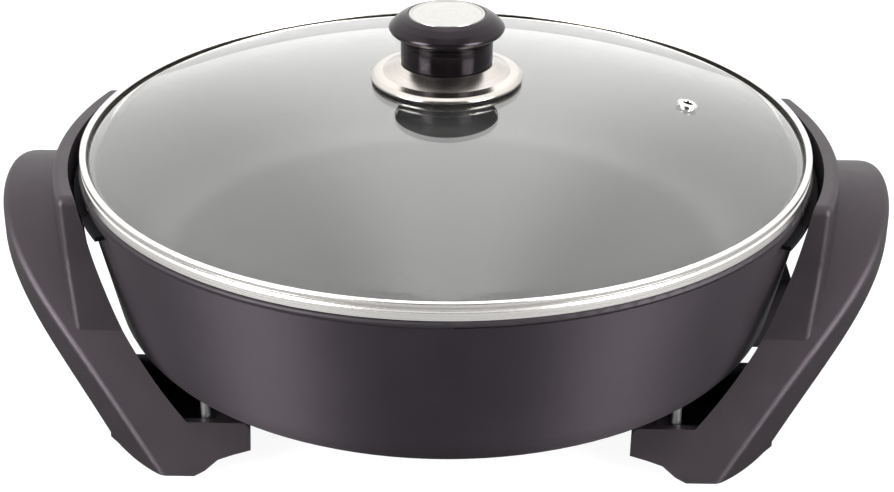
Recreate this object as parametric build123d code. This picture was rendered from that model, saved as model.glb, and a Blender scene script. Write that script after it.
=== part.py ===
"""Electric skillet: round pan in a painted casing, two handle-and-leg mouldings, loose glass lid.

Frame: millimetres, +Z up, origin on the ground under the centre of the pan.
The two handles stand on +X and -X; the mains inlet faces +X, between the right handle's legs.
"""
from build123d import *
import os
from math import asin, cos, radians, sin, sqrt, tan

os.makedirs("parts", exist_ok=True)

# ---------------------------------------------------------------- driving dimensions
LID_RADIUS = 180.0          # outside of the lid's steel band
LID_TOP = 123.0             # top of the band's rolled bead, above the ground

CASING_BOTTOM = 28.0        # underside of the casing
CASING_RIM = 180.6          # outside radius of the casing at its upper edge
CASING_SLOPE = 0.221        # how much the wall's radius grows for each mm of height
CASING_CORNER = 21.5        # outside radius of the bottom corner
CASING_SHEET = 1.0

PAN_FLOOR = 58.0            # cooking surface
PAN_FLOOR_RADIUS = 136.0    # flat part of the cooking surface
PAN_CORNER = 26.0           # inside radius between floor and wall
PAN_WALL_ANGLE = 20.0       # lean of the wall, degrees from vertical
PAN_WALL = 3.4
PAN_BASE = 4.5              # thickness of the floor
PAN_RIM_TOP = 114.3
PAN_RIM_RADIUS = 181.2
PAN_RIM_THICK = 3.0

ARCH_TOP = 102.5            # crown of the handle, seen from the side
ARCH_CURVE = 0.00646        # fall of the arch: height = ARCH_TOP - ARCH_CURVE * y * y
STRAP = 12.0                # depth of the arched strap, square to its surface
WING_OUTLINE = [(220.0, 0), (217.6, 28), (210.1, 50), (196.2, 70), (179.3, 86.5), (162.7, 100.5),
                (146.5, 113.5), (128.0, 127.5), (108.0, 142)]     # half of the outer side, from above
EDGE_ROUND = 4.0            # rounding of the strap's outer edge
HANDLE_SKIN = 3.2           # wall thickness of the hollow moulding
HANDLE_RIB = 3.0

FOOT_TOP = 21.0             # rim of the tray-shaped foot, under the casing
FOOT_END_X = 86.0           # inner end of a foot, where it reaches furthest in
FOOT_END_SLANT = 11.5       # how far that end draws back towards the middle
FOOT_OUTER_X = 157.0        # outer side of the tray, under the strap
FOOT_REAR_Y = 49.0          # side of the foot that faces the middle of the appliance
FOOT_DEPTH = 95.0           # from there to beyond its outer side
FOOT_GROUND = (115.0, 130.0)                # what touches the ground, along X

COLLAR_TOP = 116.0          # the collar follows the pan's rim
COLLAR_OUTER = 193.8
COLLAR_HALF_TOP = 69.0      # half length of the collar at its top
COLLAR_TURN = (75.0, 86.0)  # half length and height where its steep end turns to run out
COLLAR_END = (87.5, 50.0)   # and where it has sunk into the strap
COLLAR_TURN_ROUND = 40.0
COLLAR_ROUND = 3.6

GLASS_TOP = 152.8           # crown of the glass
GLASS_EDGE_TOP = 119.9      # upper edge of the glass, inside the band
GLASS_EDGE_RADIUS = 176.8
GLASS_SHOULDER = (169.5, 123.5)             # where the dome turns down to its edge
GLASS_THICK = 4.0

KNOB_TOP = 184.8
KNOB_CAP_RADIUS = 28.2
KNOB_NECK_RADIUS = 22.5
KNOB_DISC_RADIUS = 18.7
KNOB_SEAT = 160.3           # top of the saucer that the knob's neck stands on
FLANGE_RADIUS = 37.3
VENT_DISTANCE = 118.7       # vent eyelet, from the lid's centre along +X

POST_X, POST_Y = 111.0, 105.0               # spacer posts between the feet and the casing
POST_RADIUS = 2.3
POST_SEAT = 15.5            # top of the boss that a post stands on

ELEMENT_RING = 95.0         # mean radius of the heating element's ring
ELEMENT_TUBE = 4.0
ELEMENT_Z = 49.3
ELEMENT_LEAD_Y = 18.0       # half distance between the element's two straight ends
ELEMENT_BEND = 16.0

FIT = 0.1                   # clearance of screws and tubes in their holes


# ---------------------------------------------------------------- helpers
def outline(start, *steps):
    """Closed face. A step is an end point, or a (through, end) pair for an arc."""
    edges = []
    here = start
    for step in steps:
        if isinstance(step[0], tuple):
            through, end = step
            edges.append(ThreePointArc(here, through, end))
        else:
            end = step
            edges.append(Line(here, end))
        here = end
    edges.append(Line(here, start))
    return make_face(edges)


def round_corners(face, corners):
    """Round the corners of a face. corners is a list of ((x, y), radius)."""
    for place, radius in corners:
        vertex = min(face.vertices(), key=lambda v: (Vector(v) - Vector(*place)).length)
        face = fillet(vertex, radius)
    return face


def turned(face):
    """Solid of revolution about Z, from a face drawn in (radius, height)."""
    return revolve(Plane.XZ * face, Axis.Z)


def rod(radius, bottom, top, x=0.0, y=0.0):
    """Upright cylinder between two heights."""
    return Pos(x, y, (bottom + top) / 2) * Cylinder(radius, top - bottom)


def rod_x(radius, x0, x1, y=0.0, z=0.0):
    """Cylinder along X between two places."""
    return Pos((x0 + x1) / 2, y, z) * Rot(0, 90, 0) * Cylinder(radius, x1 - x0)


def block(low, high):
    """Box between two corners."""
    centre = [(a + b) / 2 for a, b in zip(low, high)]
    return Pos(*centre) * Box(*[b - a for a, b in zip(low, high)])


def four_ways(x, y):
    """The four places that mirror (x, y) in both axes."""
    return [(i * x, j * y) for i in (1, -1) for j in (1, -1)]


def write(name, *solids):
    """Write one STEP file, for one solid or a group of separate solids."""
    shape = solids[0] if len(solids) == 1 else Compound(children=list(solids))
    shape.label = name
    export_step(shape, f"parts/{name}.step")


# ---------------------------------------------------------------- casing and pan
def casing_radius(z):
    """Outside radius of the casing's wall at a height."""
    rim_height = PAN_RIM_TOP - PAN_RIM_THICK
    return CASING_RIM - CASING_SLOPE * (rim_height - z)


def casing_filled(inset=0.0):
    """The casing's outer form as a full body, or that form drawn in by inset."""
    top = PAN_RIM_TOP - PAN_RIM_THICK
    low = CASING_BOTTOM + inset
    corner = (casing_radius(low) - inset, low)
    face = outline((0, low), corner, (casing_radius(top) - inset, top), (0, top))
    return turned(round_corners(face, [(corner, CASING_CORNER - inset)]))


PAN_LEAN = tan(radians(PAN_WALL_ANGLE))
PAN_CORNER_RADIUS = PAN_FLOOR_RADIUS + PAN_CORNER * tan(radians(45 - PAN_WALL_ANGLE / 2))


def pan_radius(z):
    """Inside radius of the pan's wall at a height, before its corner is rounded."""
    return PAN_CORNER_RADIUS + PAN_LEAN * (z - PAN_FLOOR)


INLET_BACK, INLET_MOUTH = 152.0, 172.5
INLET_HALF_WIDTH = 36.0
INLET_BOTTOM, INLET_TOP = 20.5, 58.5
INLET_SKIN = 3.4
INLET_SCREW_Y, INLET_SCREW_Z = 28.4, 40.5
EARTH_Z = 33.5
PIN_RADIUS, PIN_BODY_RADIUS = 2.4, 3.0      # contact part, and the thicker body behind it
PIN_SHOULDER = 155.5                        # where the body ends, just proud of the shroud's back wall
BOSS_FOOT_RADIUS, BOSS_REFLECTOR_RADIUS = 5.0, 4.0
REFLECTOR_Z = 36.5
REFLECTOR_SCREW_RING = 60.0
REFLECTOR_SCREW_ANGLES = (60, 180, 300)
FOOT_SCREW_TOP = 52.5


def reflector_places():
    return [(REFLECTOR_SCREW_RING * cos(radians(a)), REFLECTOR_SCREW_RING * sin(radians(a)))
            for a in REFLECTOR_SCREW_ANGLES]


def make_casing():
    """Pressed bowl that hides the element, with a window for the inlet."""
    casing = casing_filled() - casing_filled(CASING_SHEET)
    gap = 3 * FIT
    casing -= block((INLET_BACK - gap, -INLET_HALF_WIDTH - gap, 0),
                    (INLET_MOUTH + 20, INLET_HALF_WIDTH + gap, INLET_TOP + gap))
    for x, y in four_ways(POST_X, POST_Y):
        casing -= rod(2.0 + FIT, 0, 60, x, y)
    for x, y in rivet_places():
        casing -= rod_x(RIVET_RADIUS + FIT, x - 5, x + 5, y, RIVET_Z)
    return casing


def make_pan():
    """Cast pan with an outward rim, and the lugs under its floor that carry the rest."""
    under = PAN_FLOOR - PAN_BASE
    shift = PAN_WALL / cos(radians(PAN_WALL_ANGLE))
    rim_under = PAN_RIM_TOP - PAN_RIM_THICK
    floor_corner = (pan_radius(PAN_FLOOR), PAN_FLOOR)
    under_corner = (pan_radius(under) + shift, under)
    inner_lip = (pan_radius(PAN_RIM_TOP), PAN_RIM_TOP)
    outer_lip = (PAN_RIM_RADIUS, PAN_RIM_TOP)
    lower_lip = (PAN_RIM_RADIUS, rim_under)
    face = outline((0, PAN_FLOOR), floor_corner, inner_lip, outer_lip, lower_lip,
                   (pan_radius(rim_under) + shift, rim_under), under_corner, (0, under))
    bowl = turned(round_corners(face, [
        (floor_corner, PAN_CORNER), (under_corner, PAN_CORNER + PAN_WALL),
        (inner_lip, 2.4), (outer_lip, 1.6), (lower_lip, 1.0)]))

    lugs = []
    for x, y in four_ways(POST_X, POST_Y):
        lugs.append(rod(BOSS_FOOT_RADIUS, CASING_BOTTOM, 72, x, y)
                    - rod(2.0 + FIT, 0, FOOT_SCREW_TOP + 1, x, y))
    for x, y in reflector_places():
        lugs.append(rod(BOSS_REFLECTOR_RADIUS, REFLECTOR_Z + 0.7, under + 1, x, y)
                    - rod(1.4 + FIT, 0, 48.5, x, y))
    for side in (1, -1):
        y = side * INLET_SCREW_Y
        lug = block((136, y - 4.5, INLET_SCREW_Z - 6), (INLET_BACK - FIT, y + 4.5, INLET_SCREW_Z + 24))
        lugs.append(lug - rod_x(1.5 + FIT, 139, 160, y, INLET_SCREW_Z))
    earth_lug = block((134, -6, CASING_BOTTOM), (INLET_BACK - FIT, 6, ELEMENT_Z + 15))
    earth_lug -= rod_x(ELEMENT_TUBE + FIT, 120, 160, 0, ELEMENT_Z)
    earth_lug -= rod_x(PIN_BODY_RADIUS + FIT, 142, 160, 0, EARTH_Z)
    lugs.append(earth_lug)

    inside = turned(round_corners(
        outline((0, PAN_FLOOR), floor_corner, (pan_radius(130), 130), (0, 130)),
        [(floor_corner, PAN_CORNER)]))
    room = casing_filled(CASING_SHEET + FIT / 2)
    for lug in lugs:
        bowl += (lug & room) - inside
    return bowl


# ---------------------------------------------------------------- heating and inlet
def element_centre():
    """Where the element's bend is centred, for the lead on the +Y side."""
    up = ELEMENT_LEAD_Y + ELEMENT_BEND
    return sqrt((ELEMENT_RING + ELEMENT_BEND) ** 2 - up ** 2), up


ELEMENT_END = 148.0


def make_element():
    """Sheathed ring under the floor, whose two ends run straight out to the inlet."""
    cx, cy = element_centre()
    reach = ELEMENT_RING + ELEMENT_BEND
    joint = (cx * ELEMENT_RING / reach, cy * ELEMENT_RING / reach)
    half = radians(45)
    middle = (cx - ELEMENT_BEND * sin(half), cy - ELEMENT_BEND * cos(half))
    path = [Line((ELEMENT_END, ELEMENT_LEAD_Y), (cx, ELEMENT_LEAD_Y)),
            ThreePointArc((cx, ELEMENT_LEAD_Y), middle, joint),
            ThreePointArc(joint, (-ELEMENT_RING, 0), (joint[0], -joint[1])),
            ThreePointArc((joint[0], -joint[1]), (middle[0], -middle[1]), (cx, -ELEMENT_LEAD_Y)),
            Line((cx, -ELEMENT_LEAD_Y), (ELEMENT_END, -ELEMENT_LEAD_Y))]
    wire = Pos(0, 0, ELEMENT_Z) * Wire(path)
    section = Plane(origin=(ELEMENT_END, ELEMENT_LEAD_Y, ELEMENT_Z), z_dir=(-1, 0, 0)) * Circle(ELEMENT_TUBE)
    return sweep(section, path=wire)


def make_end_seals():
    """Ceramic beads that close the element's two ends around the pins."""
    return [rod_x(4.6, ELEMENT_END, ELEMENT_END + 3, y, ELEMENT_Z)
            - rod_x(PIN_BODY_RADIUS + FIT, ELEMENT_END - 1, ELEMENT_END + 4, y, ELEMENT_Z)
            for y in (ELEMENT_LEAD_Y, -ELEMENT_LEAD_Y)]


def pin(x0, x1, y, z):
    """Contact pin along +X: a thicker body up to a shoulder, then the contact part with its rounded tip."""
    tip = fillet(rod_x(PIN_RADIUS, x0, x1, y, z).edges().sort_by(Axis.X)[-1], 1.2)
    return tip + rod_x(PIN_BODY_RADIUS, x0, PIN_SHOULDER, y, z)


def make_probe_tube():
    """Blind tube under the floor that takes the control's temperature probe."""
    tube = rod_x(ELEMENT_TUBE, 60, INLET_BACK + 8, 0, ELEMENT_Z)
    return tube - rod_x(ELEMENT_TUBE - 0.8, 62, INLET_BACK + 9, 0, ELEMENT_Z)


def make_inlet():
    """Socket shroud: an open-fronted box whose back wall the pins pass through."""
    shroud = block((INLET_BACK, -INLET_HALF_WIDTH, INLET_BOTTOM), (INLET_MOUTH, INLET_HALF_WIDTH, INLET_TOP))
    shroud = fillet(shroud.edges().filter_by(Axis.X), 5.0)
    mouth = block((INLET_BACK + INLET_SKIN, -INLET_HALF_WIDTH + INLET_SKIN, INLET_BOTTOM + INLET_SKIN),
                  (INLET_MOUTH + 1, INLET_HALF_WIDTH - INLET_SKIN, INLET_TOP - INLET_SKIN))
    shroud -= fillet(mouth.edges().filter_by(Axis.X), 2.5)
    for y in (ELEMENT_LEAD_Y, -ELEMENT_LEAD_Y):
        shroud -= rod_x(PIN_BODY_RADIUS + FIT, INLET_BACK - 1, INLET_BACK + 5, y, ELEMENT_Z)
    for y in (INLET_SCREW_Y, -INLET_SCREW_Y):
        shroud -= rod_x(1.5 + FIT, INLET_BACK - 1, INLET_BACK + 5, y, INLET_SCREW_Z)
    shroud -= rod_x(ELEMENT_TUBE + FIT, INLET_BACK - 1, INLET_BACK + 5, 0, ELEMENT_Z)
    shroud -= rod_x(PIN_BODY_RADIUS + FIT, INLET_BACK - 1, INLET_BACK + 5, 0, EARTH_Z)
    return shroud


def make_inlet_screws():
    """Two screws through the shroud's back wall into the pan's lugs."""
    face = INLET_BACK + INLET_SKIN
    return [rod_x(1.5, 141, face, y, INLET_SCREW_Z)
            + fillet(rod_x(3.2, face, face + 2.2, y, INLET_SCREW_Z).edges().sort_by(Axis.X)[-1], 1.0)
            - block((face + 1.2, y - 4, INLET_SCREW_Z - 0.5), (face + 3, y + 4, INLET_SCREW_Z + 0.5))
            for y in (INLET_SCREW_Y, -INLET_SCREW_Y)]


def make_reflector():
    """Shallow pressed tray that throws the element's heat back up."""
    z = REFLECTOR_Z
    face = outline((0, z), (112, z), (116, z + 5), (122, z + 5), (122, z + 5.6),
                   (115.7, z + 5.6), (111.7, z + 0.6), (0, z + 0.6))
    tray = turned(face)
    for x, y in reflector_places():
        tray -= rod(1.4 + FIT, z - 1, z + 2, x, y)
    return tray


def make_reflector_screws():
    """Three pan-head screws that hold the reflector to the pan."""
    z = REFLECTOR_Z
    screws = []
    for x, y in reflector_places():
        head = fillet(rod(2.9, z - 2.0, z, x, y).edges().sort_by(Axis.Z)[0], 0.9)
        slot = block((x - 3, y - 0.4, z - 2.1), (x + 3, y + 0.4, z - 1.1))
        screws.append(rod(1.4, z, z + 11, x, y) + head - slot)
    return screws


# ---------------------------------------------------------------- handles
RIVET_RADIUS, RIVET_Z, RIVET_Y = 1.6, 95.0, 8.5
BRACKET_SHEET = 2.2
BRACKET_PLATE = (80.5, 106.4)               # heights of the plate on the casing's wall
BRACKET_SHELF_ANGLE = 29.5                  # half angle of the shelf that fills the gap under the rim
BRACKET_SHELF_OUTER = 183.7
BRACKET_TONGUE = (86.4, 88.8)               # heights of the tongue under the wing
BRACKET_HALF_WIDTH = 13.0
BRACKET_REACH = 207.0
HANDLE_SCREW_X = (191.0, 202.0)
HANDLE_BOSS = 4.6
FOOT_BOSS = 6.0


def rivet_places():
    """Where the bracket's rivets cross the casing, as (x, y)."""
    x = casing_radius(RIVET_Z)
    return [(side * x, y) for side in (1, -1) for y in (RIVET_Y, -RIVET_Y)]


def side_slab(face):
    """Extrude a (y, z) face across the whole of the right handle."""
    return extrude(Plane.YZ.offset(60) * face, 180)


def arch_slab(drop):
    """Everything under the arch, or under a surface that lies drop below it, square to it."""
    crown = ARCH_TOP - drop
    span = sqrt(ARCH_TOP / ARCH_CURVE)
    foot_slope = 2 * ARCH_CURVE * span
    curve = crown / (span - drop * sqrt(1 + 1 / foot_slope ** 2)) ** 2
    low = -20.0
    half = sqrt((crown - low) / curve)
    arch = Bezier((-half, low), (0, 2 * crown - low), (half, low))
    return side_slab(make_face([arch, Line((half, low), (-half, low))]))


def plan_slab(inset=0.0):
    """Outline of wing and legs from above, drawn in by inset, as an upright slab."""
    side = Spline(*[(x, -y) for x, y in reversed(WING_OUTLINE[1:])] + WING_OUTLINE)
    if inset:
        steps = [i / 16 for i in range(17)]
        side = Spline(*[side @ t + (side % t).rotate(Axis.Z, 90) * inset for t in steps])
    end_x, end_y = (side @ 1).X, (side @ 1).Y
    inner = FOOT_END_X + inset
    back = inner + FOOT_END_SLANT
    ends = Polyline((end_x, end_y), (inner, end_y), (back, FOOT_REAR_Y - 4), (back, 4 - FOOT_REAR_Y),
                    (inner, -end_y), (end_x, -end_y))
    face = make_face([side, *ends.edges()])
    return extrude(Pos(0, 0, -30) * face, 160)


def underside_slab(inset=0.0):
    """Everything above the feet's undersides, drawn in by inset."""
    g0, g1 = FOOT_GROUND
    face = outline((83.5 + inset, 13.5 + inset), (85 + inset, 11.4 + inset), (97, 8.6 + inset), (104, 6.6 + inset),
                   (110, 2.2 + inset), (g0, inset), (g1, inset),
                   ((143.5, 2.0 + inset), (153, 6.5 + inset)), (158, 8.5 + inset), (240, 8.5 + inset),
                   (240, 125), (92 + inset, 125), (92 + inset, FOOT_TOP))
    return extrude(Plane.XZ.offset(-150) * face, 300)


def clearance(extra=0.0):
    """Space kept free round the casing above the feet, or that space grown by extra."""
    low = FOOT_TOP - extra
    return turned(outline((0, low), (163.8 + extra, low), ((178.0 + extra, 71.0), (186.0 + extra, 116.0)),
                          (186.0 + extra, 130), (0, 130)))


def collar_slab():
    """Upright wall that follows the rim: a cylinder's side, whose ends slope down and run out along the strap."""
    half = [(COLLAR_HALF_TOP, COLLAR_TOP), COLLAR_TURN, COLLAR_END]
    ends = Polyline([(-y, z) for y, z in reversed(half)] + half, close=True)
    bends = [(COLLAR_HALF_TOP, COLLAR_TOP, 5.0), (*COLLAR_TURN, COLLAR_TURN_ROUND)]
    face = round_corners(make_face(ends), [((side * y, z), r) for y, z, r in bends for side in (1, -1)])
    wall = rod(COLLAR_OUTER, 0, COLLAR_TOP) & side_slab(face)
    edge = [e for e in wall.edges() if abs(e.center().Z - COLLAR_TOP) < 0.01 and e.center().X > 190]
    return fillet(edge, COLLAR_ROUND)


def make_handle():
    """Right handle: a collar, a wing and two legs in one hollow moulding with tray-shaped feet."""
    filled = arch_slab(0) & plan_slab()
    edge = [e for e in filled.edges()
            if e.center().X > 125 and abs((e @ 0.5).Z - ARCH_TOP + ARCH_CURVE * (e @ 0.5).Y ** 2) < 0.05]
    filled = fillet(edge, EDGE_ROUND)
    strap = filled - arch_slab(STRAP)
    feet = [filled & block((FOOT_END_X, y, -1), (FOOT_OUTER_X, y + FOOT_DEPTH, FOOT_TOP))
            for y in (FOOT_REAR_Y, -FOOT_REAR_Y - FOOT_DEPTH)]
    body = strap + (collar_slab() - arch_slab(STRAP)) + feet[0] + feet[1]
    body = (body & underside_slab()) - clearance()

    skin = HANDLE_SKIN
    inside = arch_slab(skin) & plan_slab(skin + 1.8) & underside_slab(skin)
    upper = inside - block((60, -150, -30), (240, 150, FOOT_TOP)) - clearance(skin)
    for y in (22, 46, -22, -46):
        upper -= block((60, y - HANDLE_RIB / 2, 0), (240, y + HANDLE_RIB / 2, 130))
    for x in HANDLE_SCREW_X:
        upper -= rod(HANDLE_BOSS, 0, 130, x, 0)
    body -= upper
    for y in (FOOT_REAR_Y + skin, -FOOT_REAR_Y - skin - FOOT_DEPTH):
        body -= inside & block((FOOT_END_X, y, -1), (FOOT_OUTER_X - skin, y + FOOT_DEPTH, FOOT_TOP + 0.5))
    for x in HANDLE_SCREW_X:
        body += rod(HANDLE_BOSS, BRACKET_TONGUE[1] + 0.05, 99, x, 0) & arch_slab(skin / 2)
        body -= rod(2.0 + FIT, 60, 97, x, 0)
    for y in (POST_Y, -POST_Y):
        body += rod(FOOT_BOSS, 1, POST_SEAT, POST_X, y)
        body -= rod(2.0 + FIT, -1, 30, POST_X, y)
        body -= rod(4.7, -1, 8.5, POST_X, y)
    return body


def make_bracket():
    """Right bracket: a plate that hugs the casing's wall, with a tongue under the wing."""
    z0, z1 = BRACKET_PLATE
    plate = turned(outline((casing_radius(z0) + FIT / 2, z0), (casing_radius(z0) + BRACKET_SHEET, z0),
                           (casing_radius(z1) + BRACKET_SHEET, z1), (casing_radius(z1) + FIT / 2, z1)))
    plate &= block((100, -BRACKET_HALF_WIDTH, 0), (200, BRACKET_HALF_WIDTH, 130))
    low, high = BRACKET_TONGUE
    tongue = block((casing_radius(low) - 2, -BRACKET_HALF_WIDTH, low), (BRACKET_REACH, BRACKET_HALF_WIDTH, high))
    tongue = fillet(tongue.edges().filter_by(Axis.Z).sort_by(Axis.X)[-2:], 5.0)
    bracket = plate + (tongue - casing_filled(-FIT / 2))
    shelf = rod(BRACKET_SHELF_OUTER, z1 - BRACKET_SHEET, z1) - casing_filled(-FIT / 2)
    reach = 200.0
    spread = reach * tan(radians(BRACKET_SHELF_ANGLE))
    bracket += shelf & extrude(make_face(Polyline((0, 0), (reach, -spread), (reach, spread), close=True)), 130)
    for x in HANDLE_SCREW_X:
        bracket -= rod(2.0 + FIT, 60, 100, x, 0)
    for y in (RIVET_Y, -RIVET_Y):
        bracket -= rod_x(RIVET_RADIUS + FIT, 150, 200, y, RIVET_Z)
    return bracket


def make_rivets(casing, bracket):
    """Two rivets that hold the right bracket to the casing, headed on both sides."""
    rivets = []
    for y in (RIVET_Y, -RIVET_Y):
        outside = casing_radius(RIVET_Z) + BRACKET_SHEET
        rivet = rod_x(RIVET_RADIUS, outside - 4.6, outside + 0.6, y, RIVET_Z)
        rivet += rod_x(2.8, outside - 1.0, outside + 1.2, y, RIVET_Z)
        rivet += rod_x(2.8, outside - 4.8, outside - 3.2, y, RIVET_Z)
        rivets.append((rivet - bracket - casing).solids().sort_by(SortBy.VOLUME)[-1])
    return rivets


def upward_screw(radius, head_radius, head, bottom, top, x, y):
    """Pan-head screw that points up, with a cross recess in its head."""
    screw = rod(radius, bottom, top, x, y)
    cap = rod(head_radius, bottom - head, bottom, x, y)
    screw += fillet(cap.edges().sort_by(Axis.Z)[0], head * 0.4)
    for dx, dy in ((head_radius * 0.6, 0.5), (0.5, head_radius * 0.6)):
        screw -= block((x - dx, y - dy, bottom - head - 0.1), (x + dx, y + dy, bottom - head * 0.5))
    return screw


def make_post(x, y):
    """Spacer tube between a foot's boss and the casing's curved underside."""
    post = rod(POST_RADIUS, POST_SEAT, 40, x, y) - rod(2.0 + FIT / 2, 0, 60, x, y)
    return (post - casing_filled(-FIT / 2)).solids().sort_by(Axis.Z)[0]


# ---------------------------------------------------------------- lid
def dome_radius():
    """Radius of the sphere that the glass dome is cut from."""
    rise = GLASS_TOP - GLASS_SHOULDER[1]
    return (GLASS_SHOULDER[0] ** 2 + rise ** 2) / (2 * rise)


def dome_height(r, drop=0.0):
    """Height of the dome's outer surface, or of one drop below it, at a distance from the centre."""
    sphere = dome_radius() - drop
    return GLASS_TOP - dome_radius() + sqrt(sphere ** 2 - r ** 2)


KNOB_HOLE = 4.0
VENT_HOLE = 3.3


def vent_plane():
    """Plane on the dome at the vent, square to the glass."""
    tilt = asin(VENT_DISTANCE / dome_radius())
    centre = (VENT_DISTANCE, 0, dome_height(VENT_DISTANCE))
    return Plane(origin=centre, x_dir=(cos(tilt), 0, -sin(tilt)), z_dir=(sin(tilt), 0, cos(tilt)))


def make_glass():
    """Tempered dome with a turned-down edge, a hole for the knob and one for the vent."""
    r0, z0 = GLASS_SHOULDER
    mid = r0 / 2
    low_r, low_z = r0 - 1.3, dome_height(r0 - 1.3, GLASS_THICK)
    edge_top = GLASS_EDGE_TOP
    edge_low = GLASS_EDGE_TOP - GLASS_THICK
    face = outline((KNOB_HOLE, dome_height(KNOB_HOLE)), ((mid, dome_height(mid)), (r0, z0)),
                   ((173.6, edge_top + 1.95), (GLASS_EDGE_RADIUS, edge_top)), (GLASS_EDGE_RADIUS, edge_low),
                   ((173.0, edge_low + 1.8), (low_r, low_z)),
                   ((mid, dome_height(mid, GLASS_THICK)), (KNOB_HOLE, dome_height(KNOB_HOLE, GLASS_THICK))))
    return turned(face) - vent_plane() * Cylinder(VENT_HOLE, 20)


def make_band(glass):
    """Steel band: a rolled bead over the edge of the glass, a skirt, and a lip inside the pan."""
    r = LID_RADIUS
    bead = LID_TOP
    sheet = 0.8
    rest = PAN_RIM_TOP + 0.3
    lip = 172.0
    face = outline((GLASS_EDGE_RADIUS - 0.5, GLASS_EDGE_TOP + 0.1),
                   ((177.2, bead - 0.55), (178.3, bead)), ((179.5, bead - 0.5), (r, bead - 1.8)),
                   ((179.9, bead - 2.8), (179.3, bead - 3.4)), (179.2, bead - 3.9), (r - 0.2, bead - 4.6),
                   (r, rest), (lip, rest), (lip, rest - 6.1), (lip - sheet, rest - 6.1),
                   (lip - sheet, rest + sheet), (r - sheet, rest + sheet), (r - 1.4, bead - 4.4),
                   (177.2, bead - 4.4), (177.2, bead - 3.0))
    return turned(face) - glass


def make_vent():
    """Rolled eyelet through the glass, with a flange above and a smaller one below."""
    hole, barrel, flange = 2.4, 3.2, 5.3
    face = outline((hole, 0.9), ((2.7, 1.4), (3.4, 1.5)), ((4.6, 1.25), (flange, 0.3)), (flange, 0.05),
                   (barrel, 0.05), (barrel, -GLASS_THICK - 0.05), (4.8, -GLASS_THICK - 0.05),
                   (4.8, -GLASS_THICK - 0.5), ((3.5, -GLASS_THICK - 1.1), (hole, -GLASS_THICK - 0.6)))
    return vent_plane() * turned(face)


def make_flange():
    """Polished saucer under the knob: flat centre, sloping cone and a rolled rim."""
    top = KNOB_SEAT
    edge = FLANGE_RADIUS
    face = outline((KNOB_HOLE, top), (KNOB_NECK_RADIUS + 0.4, top), (31.2, top - 4.3),
                   ((32.2, top - 4.7), (33.2, top - 4.5)), ((35.0, top - 4.9), (edge - 1.2, top - 6.0)),
                   (edge - 1.0, top - 6.3), ((edge - 0.3, top - 6.5), (edge, top - 7.2)),
                   ((edge - 0.3, top - 8.0), (edge - 1.0, top - 8.2)), (edge - 2.0, top - 7.6),
                   ((edge - 2.2, top - 6.7), (34.2, top - 6.0)), (32.2, top - 5.8), (22.9, top - 1.0),
                   (KNOB_HOLE, top - 1.0))
    return turned(face)


INSERT_RADIUS = 5.0
SCREW_SEAT = 145.9          # where the knob screw's head bears
NECK_TOP = KNOB_SEAT + 15.5
CAP_BOTTOM = NECK_TOP + 0.05


def make_knob_neck():
    """Glossy stem with a raised ring under the cap."""
    r = KNOB_NECK_RADIUS
    base = KNOB_SEAT + 0.05
    face = outline((INSERT_RADIUS + FIT / 2, base), (r - 0.8, base), (r, base + 0.85), (r, base + 11.6),
                   (r - 0.5, base + 12.0), (r - 0.5, base + 12.3), ((r + 0.6, base + 13.6), (r + 0.3, NECK_TOP)),
                   (INSERT_RADIUS + FIT / 2, NECK_TOP))
    return turned(face)


def make_knob_cap():
    """Mushroom grip with a seat for the disc in its top."""
    r = KNOB_CAP_RADIUS
    low, top = CAP_BOTTOM, KNOB_TOP
    seat = KNOB_DISC_RADIUS + 0.15
    bore = INSERT_RADIUS + FIT / 2
    face = outline((0, top - 5.8), (bore, top - 5.8), (bore, low), (25.4, low),
                   ((27.6, low + 0.6), (r, low + 2.4)), ((25.0, top - 2.9), (seat + 0.7, top)),
                   ((seat + 0.15, top), (seat, top - 0.4)), (seat, top - 2.7), (0, top - 2.7))
    return turned(face)


def make_knob_disc():
    """Metal disc with a rounded edge, let into the cap."""
    disc = rod(KNOB_DISC_RADIUS, KNOB_TOP - 2.65, KNOB_TOP + 0.3)
    return fillet(disc.edges().sort_by(Axis.Z)[-1], 0.7)


def ring(inner, outer, bottom, top):
    """Upright flat ring."""
    return rod(outer, bottom, top) - rod(inner, bottom - 1, top + 1)


def make_upper_seal():
    """Silicone spacer between the glass and the saucer, hollowed to fit the dome."""
    sphere = Pos(0, 0, GLASS_TOP - dome_radius()) * Sphere(dome_radius() + 0.02)
    return ring(KNOB_HOLE, 20, GLASS_TOP - 4, KNOB_SEAT - 1.05) - sphere


def make_lower_seal():
    """Silicone washer under the glass."""
    top = dome_height(12, GLASS_THICK) - 0.02
    return ring(KNOB_HOLE, 12, SCREW_SEAT + 1.25, top)


# ---------------------------------------------------------------- build and write
def mirrored(solid):
    return mirror(solid, Plane.YZ)


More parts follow.
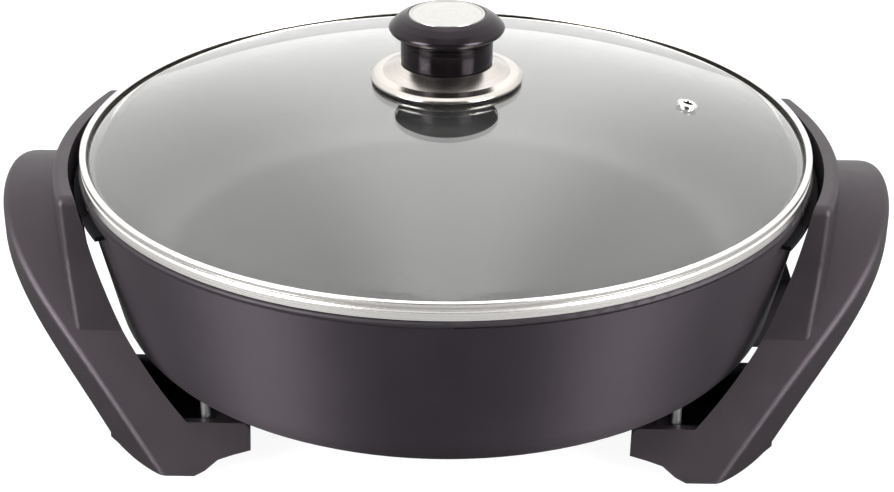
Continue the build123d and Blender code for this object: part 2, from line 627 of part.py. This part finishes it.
def build():
    casing = make_casing()
    handle = make_handle()
    bracket = make_bracket()
    rivets = make_rivets(casing, bracket)
    glass = make_glass()

    write("casing", casing)
    write("pan", make_pan())
    write("heating_element", make_element())
    write("element_end_seals", *make_end_seals())
    write("terminal_pins", *[pin(ELEMENT_END, 166.5, y, ELEMENT_Z) for y in (ELEMENT_LEAD_Y, -ELEMENT_LEAD_Y)])
    write("earth_pin", pin(143, 166.5, 0, EARTH_Z))
    write("probe_tube", make_probe_tube())
    write("inlet_shroud", make_inlet())
    write("inlet_screws", *make_inlet_screws())
    write("reflector", make_reflector())
    write("reflector_screws", *make_reflector_screws())

    write("right_handle", handle)
    write("left_handle", mirrored(handle))
    write("right_bracket", bracket)
    write("left_bracket", mirrored(bracket))
    write("bracket_rivets", *rivets, *[mirrored(r) for r in rivets])
    handle_screws = [upward_screw(2.0, 3.8, 2.6, BRACKET_TONGUE[0], 96, x, 0) for x in HANDLE_SCREW_X]
    write("handle_screws", *handle_screws, *[mirrored(s) for s in handle_screws])
    write("foot_posts", *[make_post(x, y) for x, y in four_ways(POST_X, POST_Y)])
    write("foot_screws", *[upward_screw(2.0, 4.2, 3.0, 8.5, FOOT_SCREW_TOP, x, y)
                           for x, y in four_ways(POST_X, POST_Y)])

    write("lid_glass", glass)
    write("lid_band", make_band(glass))
    write("vent_eyelet", make_vent())
    write("knob_flange", make_flange())
    write("knob_neck", make_knob_neck())
    write("knob_cap", make_knob_cap())
    write("knob_disc", make_knob_disc())
    write("knob_insert", ring(3.1, INSERT_RADIUS, KNOB_SEAT + 0.1, KNOB_TOP - 5.85))
    write("knob_screw", upward_screw(3.0, 6.0, 3.5, SCREW_SEAT, KNOB_TOP - 8, 0, 0))
    write("knob_washer", ring(3.2, 12, SCREW_SEAT, SCREW_SEAT + 1.2))
    write("knob_upper_seal", make_upper_seal())
    write("knob_lower_seal", make_lower_seal())


build()
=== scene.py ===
"""Electric skillet with a loose glass lid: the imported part's looks, at the photograph's angle."""

import math

import bmesh
import bpy
from mathutils import Matrix, Vector


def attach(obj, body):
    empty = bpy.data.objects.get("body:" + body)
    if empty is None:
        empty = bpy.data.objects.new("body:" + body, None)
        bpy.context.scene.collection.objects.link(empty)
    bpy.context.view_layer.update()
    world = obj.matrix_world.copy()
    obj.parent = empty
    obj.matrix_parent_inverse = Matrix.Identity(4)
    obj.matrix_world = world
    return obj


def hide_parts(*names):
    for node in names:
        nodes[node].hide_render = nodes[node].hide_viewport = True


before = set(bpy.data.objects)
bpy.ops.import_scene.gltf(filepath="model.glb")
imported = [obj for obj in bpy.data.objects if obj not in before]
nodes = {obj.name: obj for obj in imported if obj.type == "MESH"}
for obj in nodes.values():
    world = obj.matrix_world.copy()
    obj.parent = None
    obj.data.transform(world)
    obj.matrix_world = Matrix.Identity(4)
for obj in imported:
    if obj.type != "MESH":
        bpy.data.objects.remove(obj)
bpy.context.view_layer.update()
scene = bpy.context.scene

# Camera: place in metres, turns in degrees, lens in mm and shift in widths of the image
CAMERA_PLACE = (0.01627, -0.86986, 0.4965)
CAMERA_DOWN = 26.69
CAMERA_TURN = 0.75
CAMERA_ROLL = 0.434
CAMERA_LENS = 76.487
CAMERA_SHIFT = -0.00934

# Light: each pair says where a step starts and ends, or what it gives there. Angles are in degrees round
# Z, from 0 behind the camera to 180 behind the skillet. Heights are the Z of a direction of length 1.
SKY_HEIGHTS = (0.05, 0.9)
SKY_LIGHT = (1.35, 2.2)
BACK_ANGLES = (156, 175)
BACK_GAIN = (0.76, 1.05)
DARK_ANGLES = (95, 40)
DARK_HEIGHTS = (1.0, 0.78)
DARKNESS = 0.95
BOX_LIGHT = 12.5
BOX_NEAR_ANGLES = (36, 46)
BOX_FAR_ANGLES = (76, 62)
BOX_TOP_HEIGHTS = (0.82, 0.62)
LEFT_BOX_GAIN = 1.18

# Places where a material changes, in metres
# Painted highlight on the pan's coat, a paler ring where its floor turns to its wall:
PAN_CORNER_HIGHLIGHT_RADII = (0.133, 0.144, 0.147, 0.160)    # paler from the first to the last, most in between
PAN_CORNER_HIGHLIGHT_HEIGHTS = (0.068, 0.080)    # paler below the first, no longer above the second
PAN_RIM_RADIUS = 0.1765    # glossier outside it
# Painted shade in the seam between the band and the glass:
BAND_SEAM_SHADE = (0.17705, 0.1218)    # dark inside the radius and below the height

# Lid's turned pieces, in mm
BAND_RADIUS = 180.0
BAND_TOP = 123.0
BAND_FLOOR = 114.6
BAND_SHEET = 0.8
SKIRT_RADIUS = 172.0
SKIRT_BOTTOM = 108.5
SAUCER_TOP = 160.3
SAUCER_SHEET = 1.0
SAUCER_HOLE = 4.2
NECK_FOOT = 160.35
NECK_RADIUS = 22.5
NECK_TOP = 175.8
CAP_FOOT = 175.86
CAP_RADIUS = 28.2
INSERT_RADIUS = 5.1
INSERT_TOP = 179.0
DISC_FOOT = 182.2
DISC_RADIUS = 18.7
DISC_TOP = 185.1

# Meshes: steps round a rounded corner, steps round the axis, and degrees from which an edge is sharp
CORNER_STEPS = 7
RIM_STEPS = 288
KNOB_STEPS = 192
SHARP_EDGE = 38

# Colours: the sheen of plastics and paint, and the painted shade in the seam under the band
VIOLET_SHEEN = (1.0, 0.86, 0.99, 1)
SEAM_SHADE = (0.035, 0.032, 0.028)


# ---------------------------------------------------------------- camera and light
def make_camera():
    """Camera in front of the skillet, looking 26.7 degrees down, for an image of 894 x 492."""
    data = bpy.data.cameras.new("camera")
    data.sensor_width = 36.0
    data.lens = CAMERA_LENS
    data.shift_x = CAMERA_SHIFT
    data.clip_start, data.clip_end = 0.05, 20.0
    camera = bpy.data.objects.new("camera", data)
    turn = (Matrix.Rotation(math.radians(CAMERA_TURN), 4, "Z")
            @ Matrix.Rotation(math.radians(90 - CAMERA_DOWN), 4, "X")
            @ Matrix.Rotation(math.radians(CAMERA_ROLL), 4, "Z"))
    camera.matrix_world = Matrix.Translation(CAMERA_PLACE) @ turn
    scene.collection.objects.link(camera)
    scene.camera = camera


def make_light():
    """A white studio as a sky: bright overhead and straight behind the skillet, dark behind the camera,
    and a tall soft light on each side of it, the left one a little stronger."""
    world = bpy.data.worlds.new("studio")
    world.use_nodes = True
    tree = world.node_tree
    background = tree.nodes["Background"]
    parts = tree.nodes.new("ShaderNodeSeparateXYZ")
    tree.links.new(tree.nodes.new("ShaderNodeTexCoord").outputs["Generated"], parts.inputs[0])
    x, y, z = parts.outputs

    def math_node(operation, a, b=0.0):
        made = tree.nodes.new("ShaderNodeMath")
        made.operation = operation
        for socket, value in zip(made.inputs, (a, b)):
            if isinstance(value, (int, float)):
                socket.default_value = value
            else:
                tree.links.new(value, socket)
        return made.outputs[0]

    def product(first, *others):
        for other in others:
            first = math_node("MULTIPLY", first, other)
        return first

    def step(value, edges, low=0.0, high=1.0):
        """Smooth step from low to high as value goes from the first edge to the second."""
        made = tree.nodes.new("ShaderNodeMapRange")
        made.interpolation_type = "SMOOTHSTEP"
        for key, number in zip(("From Min", "From Max", "To Min", "To Max"), (*edges, low, high)):
            made.inputs[key].default_value = number
        tree.links.new(value, made.inputs["Value"])
        return made.outputs["Result"]

    side = math_node("ABSOLUTE", math_node("ARCTAN2", x, math_node("MULTIPLY", y, -1.0)))

    def side_step(angles, low=0.0, high=1.0):
        """Smooth step round Z, with its edges in degrees."""
        return step(side, [math.radians(angle) for angle in angles], low, high)

    dark = product(side_step(DARK_ANGLES), step(z, DARK_HEIGHTS), DARKNESS)
    sky = product(step(z, SKY_HEIGHTS, *SKY_LIGHT), side_step(BACK_ANGLES, *BACK_GAIN),
                  math_node("SUBTRACT", 1.0, dark))
    boxes = product(side_step(BOX_NEAR_ANGLES), side_step(BOX_FAR_ANGLES),
                    step(z, BOX_TOP_HEIGHTS, 0.0, BOX_LIGHT), step(x, (0.3, -0.3), 1.0, LEFT_BOX_GAIN))
    tree.links.new(math_node("ADD", sky, boxes), background.inputs["Strength"])
    background.inputs["Color"].default_value = (1.0, 0.995, 0.985, 1)
    scene.world = world
    scene.view_settings.view_transform = "Standard"
    scene.view_settings.look = "None"


# ---------------------------------------------------------------- material helpers
class Paint:
    """A Principled material with short calls for the textures that feed it."""

    def __init__(self, name):
        self.material = bpy.data.materials.new(name)
        self.material.use_nodes = True
        self.tree = self.material.node_tree
        self.shader = self.tree.nodes["Principled BSDF"]
        self.output = self.tree.nodes["Material Output"]
        self.place = self.node("ShaderNodeTexCoord").outputs["Object"]

    def node(self, kind, **values):
        made = self.tree.nodes.new(kind)
        for key, value in values.items():
            setattr(made, key, value)
        return made

    def link(self, source, target):
        self.tree.links.new(source, target)

    def feed(self, source, name):
        """Link a texture to the shader's socket of that name."""
        self.link(source, self.shader.inputs[name])

    def set(self, **values):
        for key, value in values.items():
            self.shader.inputs[key.replace("_", " ")].default_value = value

    def math(self, operation, a, b=0.0):
        made = self.node("ShaderNodeMath", operation=operation)
        for socket, value in zip(made.inputs, (a, b)):
            if isinstance(value, (int, float)):
                socket.default_value = value
            else:
                self.link(value, socket)
        return made.outputs[0]

    def times(self, a, b):
        return self.math("MULTIPLY", a, b)

    def noise(self, scale, detail=3.0, vector=None, roughness=0.55):
        made = self.node("ShaderNodeTexNoise")
        made.inputs["Scale"].default_value = scale
        made.inputs["Detail"].default_value = detail
        made.inputs["Roughness"].default_value = roughness
        self.link(vector or self.place, made.inputs["Vector"])
        return made.outputs["Fac"]

    def ramp(self, value, *stops):
        """Colour ramp: each stop is (place, colour or grey)."""
        made = self.node("ShaderNodeValToRGB")
        while len(made.color_ramp.elements) < len(stops):
            made.color_ramp.elements.new(0.5)
        for element, (place, colour) in zip(made.color_ramp.elements, stops):
            element.position = place
            element.color = (*colour, 1) if isinstance(colour, tuple) else (colour,) * 3 + (1,)
        self.link(value, made.inputs["Fac"])
        return made.outputs["Color"]

    def zone(self, length, span, *stops):
        """Ramp over a length from 0 to span, in metres: each stop is (length, grey)."""
        return self.ramp(self.times(length, 1 / span), *[(place / span, grey) for place, grey in stops])

    def spread(self, value, low, high):
        """Map a 0..1 value to low..high."""
        made = self.node("ShaderNodeMapRange")
        made.inputs["To Min"].default_value = low
        made.inputs["To Max"].default_value = high
        self.link(value, made.inputs["Value"])
        return made.outputs["Result"]

    def mix(self, factor, a, b):
        """Blend from a to b, each of them a colour or a socket."""
        made = self.node("ShaderNodeMix", data_type="RGBA")
        for socket, value in ((made.inputs[0], factor), (made.inputs[6], a), (made.inputs[7], b)):
            if isinstance(value, tuple):
                socket.default_value = (*value, 1)
            else:
                self.link(value, socket)
        return made.outputs[2]

    def bump(self, height, strength, distance):
        made = self.node("ShaderNodeBump")
        made.inputs["Strength"].default_value = strength
        made.inputs["Distance"].default_value = distance
        self.link(height, made.inputs["Height"])
        self.feed(made.outputs["Normal"], "Normal")

    def position(self):
        """x, y and z of the point, and its distance from the Z axis."""
        parts = self.node("ShaderNodeSeparateXYZ")
        self.link(self.place, parts.inputs[0])
        x, y, z = parts.outputs
        reach = self.math("SQRT", self.math("ADD", self.times(x, x), self.times(y, y)))
        return x, y, z, reach

    def turned_lines(self, scale, along=1.5):
        """Noise drawn out round the Z axis, as a lathe leaves it."""
        x, y, z, reach = self.position()
        joined = self.node("ShaderNodeCombineXYZ")
        self.link(self.times(reach, scale), joined.inputs[0])
        self.link(self.times(self.math("ARCTAN2", y, x), along), joined.inputs[1])
        self.link(self.times(z, scale), joined.inputs[2])
        return self.noise(1.0, 2.0, joined.outputs[0])


def colour_pair(paint, value, dark, light, low=0.35, high=0.65):
    """Base colour from dark to light as value goes from low to high."""
    paint.feed(paint.ramp(value, (low, dark), (high, light)), "Base Color")


# ---------------------------------------------------------------- materials
def moulded(name, dark, light, rough, grain=0.12, specular=0.5):
    """Satin moulded plastic: faint cloudy colour, a fine spark-eroded grain and slightly uneven gloss."""
    p = Paint(name)
    cloudy = p.math("ADD", p.times(p.noise(38, 4), 0.6), p.times(p.noise(2600, 2), 0.4))
    colour_pair(p, cloudy, dark, light)
    p.feed(p.spread(p.noise(90, 3), rough - 0.05, rough + 0.06), "Roughness")
    p.set(Specular_IOR_Level=specular, Specular_Tint=VIOLET_SHEEN)
    p.bump(p.noise(1900, 2), grain, 0.0004)
    return p.material


def steel(name, colour, rough, lines, seam_shade=None):
    """Turned stainless steel: fine lines round the axis in colour, gloss and bump. It's painted dark, as
    shade in the seam, inside the radius and below the height given for the seam."""
    p = Paint(name)
    drawn = p.turned_lines(5200)
    bright = tuple(min(1.0, c * 1.06) for c in colour)
    dull = tuple(c * 0.9 for c in colour)
    base = p.ramp(drawn, (0.35, dull), (0.65, bright))
    if seam_shade:
        # painted shade in the seam between band and glass, put into the colour
        x, y, z, reach = p.position()
        seam_shaded = p.times(p.math("LESS_THAN", reach, seam_shade[0]), p.math("LESS_THAN", z, seam_shade[1]))
        base = p.mix(seam_shaded, base, SEAM_SHADE)
    p.feed(base, "Base Color")
    p.feed(p.spread(drawn, rough * 0.75, rough * 1.3), "Roughness")
    p.set(Metallic=1.0)
    p.bump(drawn, lines, 0.00005)
    return p.material


def plain_metal(name, colour, rough):
    """Small metal parts: uneven dull plating."""
    p = Paint(name)
    colour_pair(p, p.noise(260, 4), tuple(c * 0.82 for c in colour), colour)
    p.feed(p.spread(p.noise(700, 3), rough - 0.06, rough + 0.08), "Roughness")
    p.set(Metallic=1.0)
    p.bump(p.noise(1500, 2), 0.06, 0.0002)
    return p.material


def casing_paint():
    """Dark baked paint over a spun body: fine lines round the axis draw its highlights out upright."""
    p = Paint("casing_paint")
    cloudy = p.math("ADD", p.times(p.noise(22, 4), 0.5), p.times(p.noise(3400, 2), 0.5))
    colour_pair(p, cloudy, (0.006, 0.005, 0.0065), (0.013, 0.011, 0.014), 0.36, 0.64)
    p.feed(p.spread(p.turned_lines(900, 3.0), 0.50, 0.60), "Roughness")
    p.set(Specular_IOR_Level=0.55, Specular_Tint=VIOLET_SHEEN)
    p.set(Anisotropic=0.85, Anisotropic_Rotation=0.25)
    p.feed(p.node("ShaderNodeTangent", direction_type="RADIAL", axis="Z").outputs[0], "Tangent")
    p.bump(p.noise(900, 2), 0.05, 0.0003)
    return p.material


def pan_coat():
    """Non-stick coat: dark with fine specks, a painted highlight where floor turns to wall, and glossier on
    the rim.
    """
    p = Paint("pan_coat")
    speck = p.noise(1500, 2, roughness=0.7)
    base = p.ramp(p.noise(16, 4), (0.35, (0.005, 0.005, 0.0055)), (0.65, (0.009, 0.009, 0.0095)))
    x, y, z, reach = p.position()
    # painted highlight: a paler ring in the colour where the floor turns to the wall, fading out above the
    # given heights
    corner_highlight = p.zone(reach, 0.2, *zip(PAN_CORNER_HIGHLIGHT_RADII, (0.0, 1.0, 1.0, 0.0)))
    low = p.zone(z, 0.1, *zip(PAN_CORNER_HIGHLIGHT_HEIGHTS, (1.0, 0.0)))
    base = p.mix(p.times(p.times(corner_highlight, low), 0.5), base, (0.10, 0.10, 0.10))
    specks = p.ramp(speck, (0.62, 0.0), (0.70, 1.0))
    p.feed(p.mix(p.spread(specks, 0.0, 0.2), base, (0.04, 0.04, 0.04)), "Base Color")
    rim = p.math("GREATER_THAN", reach, PAN_RIM_RADIUS)
    p.feed(p.spread(rim, 0.04, 0.45), "Specular IOR Level")
    p.set(Specular_Tint=VIOLET_SHEEN)
    p.feed(p.spread(p.noise(120, 3), 0.42, 0.55), "Roughness")
    p.bump(speck, 0.03, 0.0002)
    return p.material


def clear_glass():
    """Tempered glass that refracts for the eye and lets lamps shine through."""
    p = Paint("lid_glass_clear")
    p.set(Transmission_Weight=1.0, IOR=1.5)
    p.set(Base_Color=(0.965, 0.975, 0.965, 1), Coat_Weight=0.62, Coat_IOR=1.5)
    p.feed(p.spread(p.noise(14, 3), 0.0, 0.018), "Roughness")
    see = p.node("ShaderNodeBsdfTransparent")
    see.inputs["Color"].default_value = (0.93, 0.95, 0.94, 1)
    both = p.node("ShaderNodeMixShader")
    p.link(p.node("ShaderNodeLightPath").outputs["Is Shadow Ray"], both.inputs[0])
    p.link(p.shader.outputs[0], both.inputs[1])
    p.link(see.outputs[0], both.inputs[2])
    p.link(both.outputs[0], p.output.inputs["Surface"])
    return p.material


def gloss_black(name, colour, rough, specular):
    """Glossy black moulding with faint smears in its gloss."""
    p = Paint(name)
    colour_pair(p, p.noise(70, 3), tuple(c * 0.75 for c in colour), colour)
    p.feed(p.spread(p.noise(45, 4), rough * 0.7, rough * 1.4), "Roughness")
    p.set(Specular_IOR_Level=specular, Specular_Tint=VIOLET_SHEEN)
    p.bump(p.noise(320, 2), 0.03, 0.0002)
    return p.material


def floor_paint():
    """Pale floor, lit from below for the camera as on a light table, so that it stays white round the
    feet. Further out it's lit for the skillet too, most of all at the back, as if by a white wall."""
    p = Paint("floor_white")
    colour_pair(p, p.noise(3, 3), (0.15, 0.15, 0.15), (0.18, 0.18, 0.18))
    p.set(Roughness=0.9, Specular_IOR_Level=0.1, Emission_Color=(1, 1, 1, 1))
    seen = p.node("ShaderNodeLightPath").outputs["Is Camera Ray"]
    x, y, z, reach = p.position()
    back = p.ramp(y, (0.28, 0.0), (0.50, 0.50))
    around = p.ramp(reach, (0.33, 0.0), (0.42, 0.32))
    lit = p.math("MAXIMUM", back, around)
    p.feed(p.times(p.math("MAXIMUM", seen, lit), 0.92), "Emission Strength")
    return p.material


# ---------------------------------------------------------------- mesh helpers
def dress(material, *names):
    """Give CAD nodes a material in place of their plain one."""
    for name in names:
        slots = nodes[name].data.materials
        slots.clear()
        slots.append(material)


def rounded(corners):
    """Points of an outline of (radius, height, rounding) in mm, with an arc at each rounded corner."""
    points = []
    for i, (radius, height, rounding) in enumerate(corners):
        here = Vector((radius, height))
        if not rounding:
            points.append(here)
            continue
        back = (Vector(corners[i - 1][:2]) - here).normalized()
        ahead = (Vector(corners[(i + 1) % len(corners)][:2]) - here).normalized()
        half = back.angle(ahead) / 2
        reach = rounding / math.tan(half)
        centre = here + (back + ahead).normalized() * (rounding / math.sin(half))
        start, end = here + back * reach - centre, here + ahead * reach - centre
        turn = start.angle_signed(end)
        for k in range(CORNER_STEPS + 1):
            points.append(centre + Matrix.Rotation(-turn * k / CORNER_STEPS, 2) @ start)
    return points


def lathe(name, corners, material, body, replaced, steps):
    """Closed ring turned about Z from an outline in mm, in place of a CAD node."""
    outline = rounded(corners)
    made = bmesh.new()
    rings = []
    for k in range(steps):
        angle = 2 * math.pi * k / steps
        across, along = math.cos(angle), math.sin(angle)
        rings.append([made.verts.new((p.x * across / 1000, p.x * along / 1000, p.y / 1000))
                      for p in outline])
    count = len(outline)
    for k in range(steps):
        here, there = rings[k], rings[(k + 1) % steps]
        for i in range(count):
            j = (i + 1) % count
            made.faces.new((here[i], there[i], there[j], here[j]))
    bmesh.ops.remove_doubles(made, verts=made.verts, dist=1e-7)
    bmesh.ops.recalc_face_normals(made, faces=made.faces)
    data = bpy.data.meshes.new(name)
    made.to_mesh(data)
    made.free()
    for face in data.polygons:
        face.use_smooth = True
    data.set_sharp_from_angle(angle=math.radians(SHARP_EDGE))
    data.materials.append(material)
    piece = bpy.data.objects.new(name, data)
    scene.collection.objects.link(piece)
    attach(piece, body)
    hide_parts(replaced)


# ---------------------------------------------------------------- turned pieces of the lid
def make_band():
    """Steel band: rolled over the glass, a groove round its side, and a skirt that hangs in the pan."""
    roll = [(176.4, 120.25, 0), (177.0, 122.2, 0.5), (178.3, BAND_TOP, 0.9), (BAND_RADIUS, 122.6, 0.9)]
    groove = [(179.95, 120.4, 0.7), (179.2, 119.8, 0.4), (179.15, 118.9, 0.3), (179.9, 118.2, 0.4)]
    skirt = [(BAND_RADIUS, BAND_FLOOR, 0), (SKIRT_RADIUS, BAND_FLOOR, 0.5), (SKIRT_RADIUS, SKIRT_BOTTOM, 0),
             (SKIRT_RADIUS - BAND_SHEET, SKIRT_BOTTOM, 0),
             (SKIRT_RADIUS - BAND_SHEET, BAND_FLOOR + BAND_SHEET, 0.8)]
    seat = [(BAND_RADIUS - BAND_SHEET, BAND_FLOOR + BAND_SHEET, 0), (178.6, 118.6, 0), (177.15, 118.8, 0),
            (177.15, 119.8, 0)]
    # the band's colour carries painted shade along its seam with the glass
    material = steel("band_polished", (0.88, 0.86, 0.84), 0.26, 0.10, seam_shade=BAND_SEAM_SHADE)
    corners = roll + groove + skirt + seat
    lathe("lid_band_rolled", corners, material, "lid", "lid_band", RIM_STEPS)


def make_saucer():
    """Thin saucer under the knob: a level middle, a slope, and a bead along its turned-down edge."""
    top = [(SAUCER_HOLE, SAUCER_TOP, 0), (22.9, SAUCER_TOP, 0.4), (31.2, 156.0, 1.2), (32.4, 155.75, 0.8),
           (35.4, 155.1, 3.0), (37.3, 153.9, 1.0)]
    underside = [(37.2, 152.2, 0.9), (35.6, 152.3, 0.7), (35.0, 153.9, 1.0), (32.4, 154.5, 0.8),
                 (31.0, 155.0, 1.0), (22.7, SAUCER_TOP - SAUCER_SHEET, 0.4),
                 (SAUCER_HOLE, SAUCER_TOP - SAUCER_SHEET, 0)]
    material = steel("flange_turned", (0.60, 0.565, 0.53), 0.2, 0.16)
    lathe("knob_saucer", top + underside, material, "lid", "knob_flange", RIM_STEPS)


def make_disc():
    """Bare disc in the cap's top, dished inside a fine rim."""
    corners = [(0, DISC_FOOT, 0), (DISC_RADIUS, DISC_FOOT, 0), (DISC_RADIUS, DISC_TOP, 0.7),
               (17.2, DISC_TOP, 0.2), (17.0, 184.85, 0.2), (0, 184.9, 0)]
    material = steel("disc_turned", (0.50, 0.495, 0.475), 0.24, 0.2)
    lathe("knob_disc_turned", corners, material, "lid", "knob_disc", KNOB_STEPS)


def make_neck():
    """Knob's neck, with a ring between two fine grooves below its flared top."""
    side = [(21.9, NECK_FOOT, 0.3), (NECK_RADIUS, 161.3, 0.5), (NECK_RADIUS, 170.6, 0.3)]
    ring = [(22.1, 171.0, 0.2), (22.1, 171.4, 0.2), (22.6, 171.8, 0.3), (22.6, 172.6, 0.3),
            (22.0, 173.0, 0.3)]
    flare = [(23.0, 173.9, 0.5), (22.7, NECK_TOP, 0)]
    corners = [(INSERT_RADIUS, NECK_FOOT, 0), *side, *ring, *flare, (INSERT_RADIUS, NECK_TOP, 0)]
    material = gloss_black("neck_gloss", (0.005, 0.004, 0.0045), 0.12, 0.13)
    lathe("knob_neck_ringed", corners, material, "lid", "knob_neck", KNOB_STEPS)


def make_cap():
    """Knob's cap: a domed shoulder round the disc, and a rounded edge that turns under."""
    recess = [(0, 182.1, 0), (18.85, 182.1, 0), (18.85, 184.8, 0.3)]
    dome = [(19.6, 184.8, 1.2), (22.6, 183.6, 6.0), (25.6, 181.4, 6.0), (CAP_RADIUS, 178.6, 2.0)]
    underside = [(CAP_RADIUS, 177.9, 0.5), (27.4, 176.4, 0.9), (25.2, CAP_FOOT, 0.4),
                 (INSERT_RADIUS, CAP_FOOT, 0)]
    hollow = [(INSERT_RADIUS, INSERT_TOP, 0), (0, INSERT_TOP, 0)]
    material = gloss_black("cap_gloss", (0.005, 0.004, 0.005), 0.16, 0.30)
    corners = recess + dome + underside + hollow
    lathe("knob_cap_domed", corners, material, "lid", "knob_cap", KNOB_STEPS)


# ---------------------------------------------------------------- floor
def make_floor():
    """Plain floor, wider to the back, where it fills the camera's view."""
    mesh = bmesh.new()
    for x, y in ((-4, -3), (4, -3), (4, 5), (-4, 5)):
        mesh.verts.new((x, y, 0))
    mesh.faces.new(mesh.verts)
    data = bpy.data.meshes.new("floor")
    mesh.to_mesh(data)
    mesh.free()
    floor = bpy.data.objects.new("floor", data)
    floor.data.materials.append(floor_paint())
    scene.collection.objects.link(floor)


# ---------------------------------------------------------------- the scene
make_camera()
make_light()

dress(moulded("handle_satin", (0.008, 0.0068, 0.0078), (0.013, 0.011, 0.0125), 0.45, 0.12, 0.54),
      "left_handle", "right_handle")
dress(casing_paint(), "casing")
dress(pan_coat(), "pan")
dress(clear_glass(), "lid_glass")
make_band()
make_saucer()
make_disc()
dress(plain_metal("eyelet_bright", (0.82, 0.82, 0.82), 0.16), "vent_eyelet")
make_neck()
make_cap()
dress(moulded("inlet_black", (0.014, 0.013, 0.015), (0.024, 0.023, 0.026), 0.5), "inlet_shroud")
# Brackets: black paint, made near black and dull so that they also serve as painted shade in the gap
# between collar and rim
dress(moulded("bracket_black", (0.004, 0.004, 0.0045), (0.008, 0.008, 0.009), 0.7, 0.1, 0.12),
      "left_bracket", "right_bracket")
dress(plain_metal("screw_zinc", (0.55, 0.55, 0.56), 0.34), "inlet_screws", "reflector_screws",
      "handle_screws", "foot_screws", "knob_screw", "knob_washer")
dress(plain_metal("rivet_satin", (0.72, 0.72, 0.73), 0.4), "bracket_rivets")
dress(plain_metal("post_dull", (0.55, 0.55, 0.55), 0.4), "foot_posts")
dress(plain_metal("element_sheath", (0.40, 0.38, 0.36), 0.5), "heating_element")
dress(plain_metal("tube_drawn", (0.58, 0.57, 0.56), 0.36), "probe_tube")
dress(plain_metal("pin_nickel", (0.78, 0.76, 0.72), 0.18), "terminal_pins", "earth_pin")
dress(plain_metal("reflector_bright", (0.76, 0.76, 0.77), 0.28), "reflector")
dress(plain_metal("insert_brass", (0.70, 0.55, 0.28), 0.3), "knob_insert")
dress(moulded("seal_ceramic", (0.72, 0.70, 0.64), (0.80, 0.78, 0.72), 0.6), "element_end_seals")
dress(moulded("seal_silicone", (0.20, 0.19, 0.18), (0.26, 0.25, 0.24), 0.55),
      "knob_upper_seal", "knob_lower_seal")
make_floor()

bpy.context.view_layer.update()
